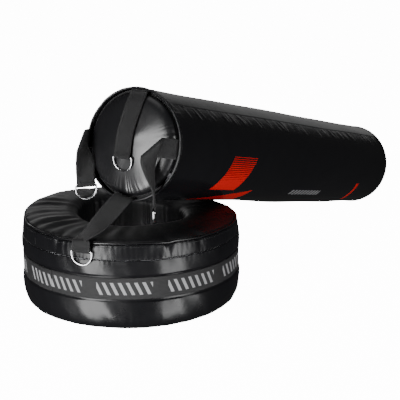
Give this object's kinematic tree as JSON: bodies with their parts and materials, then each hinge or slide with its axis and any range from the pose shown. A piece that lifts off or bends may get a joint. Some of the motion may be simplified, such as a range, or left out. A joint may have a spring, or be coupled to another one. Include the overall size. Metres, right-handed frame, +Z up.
{
  "type": "uppercut bag",
  "caption": "Long filled vinyl punching bag with a domed lid, hanging straps and steel D-rings, lying over the padded ring that slides round it for uppercuts.",
  "frame": {"origin": "centre of the padded ring's base, on the floor", "axes": "+Z up, +X along the bag in plan from its strap end to its foot on the floor"},
  "size_m": [1.6757, 0.6153, 0.6198],
  "materials": {
    "bag_vinyl": "satin black coated vinyl",
    "ring_matt_vinyl": "matt black coated vinyl",
    "ring_gloss_vinyl": "glossy black coated vinyl",
    "piping": "satin black piping",
    "foam": "open cell foam",
    "textile_fill": "packed shredded textile",
    "liner_cloth": "plain woven liner",
    "waist_webbing": "ribbed webbing with a grey woven pattern",
    "strap_webbing": "black ribbed webbing",
    "zip_tape": "woven zip tape",
    "zip_teeth": "moulded black teeth",
    "zip_metal": "nickel plated",
    "ring_steel": "polished nickel plated steel"
  },
  "bodies": {
    "ring": {"ring_base_panel": "ring_matt_vinyl", "ring_base_welt": "piping", "ring_filling": "textile_fill", "ring_outer_foam": "foam", "ring_rim_welt": "piping", "ring_side_band": "ring_gloss_vinyl", "ring_top_foam": "foam", "ring_top_panel": "ring_matt_vinyl", "ring_tunnel_foam": "foam", "ring_tunnel_wall": "ring_matt_vinyl", "ring_upper_band": "ring_gloss_vinyl", "ring_waist_webbing": "waist_webbing"},
    "bag": {"bag_filling": "textile_fill", "bag_foam_sleeve": "foam", "bag_foot_foam": "foam", "bag_foot_panel": "bag_vinyl", "bag_foot_welt": "piping", "bag_lid": "bag_vinyl", "bag_lid_foam": "foam", "bag_liner_sack": "liner_cloth", "bag_rim_welt": "piping", "bag_side_cover": "bag_vinyl", "bag_zip_tape": "zip_tape", "bag_zip_teeth": "zip_teeth", "strap_tail_bottom": "strap_webbing", "strap_tail_left": "strap_webbing", "strap_tail_right": "strap_webbing", "strap_tail_top": "strap_webbing"},
    "zip_slider": {"bag_zip_slider": "zip_metal"},
    "zip_pull": {"bag_zip_pull": "zip_metal"},
    "strap_top": {"strap_top": "strap_webbing"},
    "d_ring_top": {"d_ring_top": "ring_steel"},
    "strap_left": {"strap_left": "strap_webbing"},
    "d_ring_left": {"d_ring_left": "ring_steel"},
    "strap_right": {"strap_right": "strap_webbing"},
    "d_ring_right": {"d_ring_right": "ring_steel"},
    "strap_bottom": {"strap_bottom": "strap_webbing"},
    "d_ring_bottom": {"d_ring_bottom": "ring_steel"}
  },
  "joints": [
    {"name": "bag_lift", "type": "slide", "parent": "ring", "child": "bag", "axis": [0, 0, 1], "range_m": [0, 0.35]},
    {"name": "zip_run", "type": "hinge", "parent": "bag", "child": "zip_slider", "pos_m": [-0.14646, -0.116, 0.47421], "axis": [0.9758, 0, -0.2187], "range_deg": [0, 285]},
    {"name": "zip_pull_lift", "type": "hinge", "parent": "zip_slider", "child": "zip_pull", "pos_m": [-0.15867, -0.23508, 0.40649], "axis": [0.1093, 0.866, 0.4879], "range_deg": [0, 90]},
    {"name": "strap_top_swing", "type": "hinge", "parent": "bag", "child": "strap_top", "pos_m": [-0.1223, -0.116, 0.61175], "axis": [0, 1, 0], "range_deg": [0, 90]},
    {"name": "strap_left_swing", "type": "hinge", "parent": "bag", "child": "strap_left", "pos_m": [-0.17591, -0.0125, 0.50745], "axis": [0, 1, 0], "range_deg": [0, 102]},
    {"name": "strap_right_swing", "type": "hinge", "parent": "bag", "child": "strap_right", "pos_m": [-0.20282, -0.217, 0.49708], "axis": [0, 1, 0], "range_deg": [0, 102]},
    {"name": "strap_bottom_swing", "type": "hinge", "parent": "bag", "child": "strap_bottom", "pos_m": [-0.19697, -0.116, 0.34257], "axis": [0, 1, 0], "range_deg": [0, 45]},
    {"name": "d_ring_top_swing", "type": "hinge", "parent": "strap_top", "child": "d_ring_top", "pos_m": [-0.19517, -0.116, 0.44884], "axis": [0, 1, 0], "range_deg": [0, 150]},
    {"name": "d_ring_left_swing", "type": "hinge", "parent": "strap_left", "child": "d_ring_left", "pos_m": [-0.1972, 0.00241, 0.35945], "axis": [-0.8192, 0.5736, 0], "range_deg": [-80, 80]},
    {"name": "d_ring_right_swing", "type": "hinge", "parent": "strap_right", "child": "d_ring_right", "pos_m": [-0.20282, -0.217, 0.32808], "axis": [-0.8572, -0.515, 0], "range_deg": [-80, 80]},
    {"name": "d_ring_bottom_swing", "type": "hinge", "parent": "strap_bottom", "child": "d_ring_bottom", "pos_m": [-0.30526, -0.06153, 0.218], "axis": [-0.1976, 0.9803, 0], "range_deg": [0, 120]}
  ]
}
